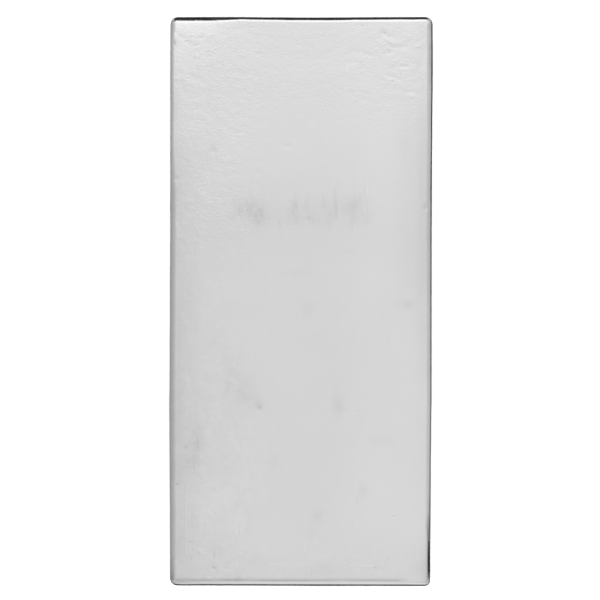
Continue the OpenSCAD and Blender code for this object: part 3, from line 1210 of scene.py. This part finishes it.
ZENITH = 0.723
parts = []
for component, sign, stops in (
    ("X", 1, [(0, ZENITH), (4, 0.69), (8, 0.66), (14, 0.625), (20, 0.60), (32, 0.555), (60, 0.53), (86, 0.51), (91, 0.49), (97, 0.46), (106, 0.44), (113, 0.40), (122, 0.32), (135, 0.26), (180, 0.24)]),
    ("X", -1, [(0, ZENITH), (4, 0.675), (8, 0.635), (12, 0.61), (18, 0.585), (30, 0.54), (50, 0.48), (62, 0.45), (80, 0.42), (90, 0.40), (97, 0.40), (106, 0.40), (113, 0.385), (122, 0.36), (135, 0.34), (180, 0.33)]),
    ("Y", -1, [(0, ZENITH), (4, 0.69), (8, 0.66), (14, 0.64), (22, 0.645), (34, 0.665), (46, 0.665), (54, 0.70), (62, 0.745), (84, 0.745), (88, 0.62), (97, 0.40), (106, 0.32), (113, 0.275), (122, 0.25), (135, 0.24), (180, 0.23)]),
    ("Y", 1, [(0, ZENITH), (4, 0.80), (8, 0.875), (12, 0.94), (16, 1.0), (22, 1.09), (50, 1.09), (62, 0.80), (72, 0.55), (88, 0.46), (98, 0.47), (106, 0.45), (113, 0.40), (122, 0.33), (135, 0.28), (180, 0.26)]),
):
    s = node("ShaderNodeVectorMath", operation="SCALE")
    link(ramp(stops), s.inputs[0])
    link(toward(component, sign), s.inputs["Scale"])
    parts.append(s.outputs[0])
# a soft light low down in one corner of the room
both = math_node(
    "MULTIPLY",
    math_node("MAXIMUM", hsep.outputs["X"], 0.0),
    math_node("MAXIMUM", hsep.outputs["Y"], 0.0),
)
corner = node("ShaderNodeVectorMath", operation="SCALE")
link(ramp([(0, 0), (62, 0), (84, 0.07), (95, 0.15), (104, 0.12), (113, 0.06), (126, 0), (180, 0)]), corner.inputs[0])
link(math_node("POWER", math_node("MULTIPLY", both, 2.0), 1.5), corner.inputs["Scale"])
parts.append(corner.outputs[0])
total = parts[0]
for p in parts[1:]:
    a = node("ShaderNodeVectorMath", operation="ADD")
    link(total, a.inputs[0])
    link(p, a.inputs[1])
    total = a.outputs[0]


# a black card stands beyond the bar's far end, narrower near the ground
wide = soft_step(hsep.outputs["Y"], 0.72, 0.86)
narrow = soft_step(hsep.outputs["Y"], 0.76, 0.97)
low = soft_step(polar, 84 / 180, 92 / 180)
span = math_node("MULTIPLY_ADD", math_node("SUBTRACT", narrow, wide), low, wide)
depth = node("ShaderNodeSeparateColor")
link(
    ramp([(0, 0), (54, 0), (62, 1), (85, 1), (86.5, 0.45), (89.5, 0.45), (91.5, 1), (104, 1), (116, 0.9), (180, 0.9)]),
    depth.inputs[0],
)
card = math_node("MULTIPLY", span, depth.outputs[0])
keep = math_node("MULTIPLY_ADD", card, -1.0, 1.0)
# dark floor straight out from the other three sides, darkest to the right of the far end
west = math_node("MULTIPLY", soft_step(math_node("MULTIPLY", hsep.outputs["X"], -1.0), 0.78, 0.97), 0.08)
east = soft_step(hsep.outputs["X"], 0.78, 0.97)
level = math_node("MULTIPLY_ADD", soft_step(hsep.outputs["Y"], 0.012, 0.045), 0.36, 0.58)
level = math_node("MULTIPLY_ADD", soft_step(hsep.outputs["Y"], -0.045, -0.005), 0.24, level)
east = math_node("MULTIPLY", east, level)
south = soft_step(math_node("MULTIPLY", hsep.outputs["Y"], -1.0), 0.78, 0.97)
below = node("ShaderNodeSeparateColor")
link(ramp([(0, 0), (97, 0), (99.5, 0.66), (117, 0.68), (121, 0.92), (180, 0.92)]), below.inputs[0])
strips = math_node("MULTIPLY", math_node("ADD", math_node("ADD", west, east), south), below.outputs[0])
keep = math_node("MULTIPLY", keep, math_node("MULTIPLY_ADD", strips, -1.0, 1.0))
lit = node("ShaderNodeVectorMath", operation="SCALE")
link(total, lit.inputs[0])
link(keep, lit.inputs["Scale"])
em = node("ShaderNodeEmission")
link(lit.outputs[0], em.inputs["Color"])
so = node("ShaderNodeOutputMaterial")
link(em.outputs[0], so.inputs[0])
sm.cycles.emission_sampling = "NONE"
studio.data.materials.append(sm)

world = bpy.data.worlds.new("studio_air")
bpy.context.scene.world = world
world.use_nodes = True
bg = world.node_tree.nodes["Background"]
bg.inputs["Color"].default_value = (1, 1, 1, 1)
bg.inputs["Strength"].default_value = 2.1
world.cycles_visibility.glossy = False

# ---------------------------------------------------------------------------
# Camera: square on to the face, from above
# ---------------------------------------------------------------------------
DISTANCE = 0.90
VIEW_MM = 600 * 0.2062
cam_data = bpy.data.cameras.new("camera")
cam_data.sensor_width = 36.0
cam_data.lens = 36.0 * DISTANCE * 1000.0 / VIEW_MM
cam_data.clip_start, cam_data.clip_end = 0.01, 100.0
cam = bpy.data.objects.new("camera", cam_data)
bpy.context.scene.collection.objects.link(cam)
cam.location = ((300.0 - MID_U) * 0.2062e-3, (301.48 - 300.0) * 0.2062e-3, hi.z + DISTANCE)
cam.rotation_euler = (0, 0, 0)
bpy.context.scene.camera = cam
bpy.context.scene.view_settings.view_transform = "Standard"
bpy.context.scene.view_settings.look = "None"
